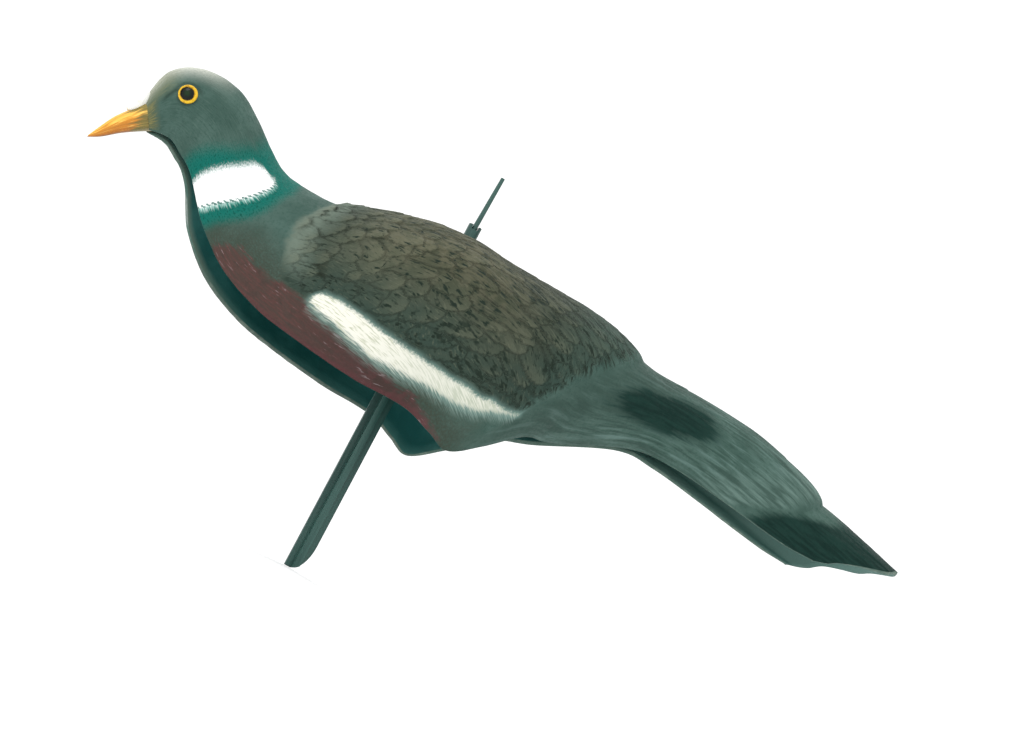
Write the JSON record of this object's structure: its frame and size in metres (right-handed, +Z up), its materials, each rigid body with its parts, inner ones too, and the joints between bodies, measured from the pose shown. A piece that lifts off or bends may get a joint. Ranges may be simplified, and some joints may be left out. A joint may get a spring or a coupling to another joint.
{
  "type": "pigeon decoy",
  "caption": "Life-size wood pigeon decoy: a thin moulded shell, open below, that rests on a cross-section ground peg through a hole in its back.",
  "frame": {"origin": "middle of the small flat at the foot of the ground peg", "axes": "+Z up along the peg; the beak points to -X and the tail to +X; the bird's left side is at -Y"},
  "size_m": [0.3993, 0.1222, 0.1906],
  "materials": {
    "painted_shell": "matte paint on moulded plastic, with carved feathers",
    "peg_plastic": "plain moulded plastic, dark green"
  },
  "bodies": {
    "root": {"shell": "painted_shell", "peg": "peg_plastic"}
  },
  "joints": []
}
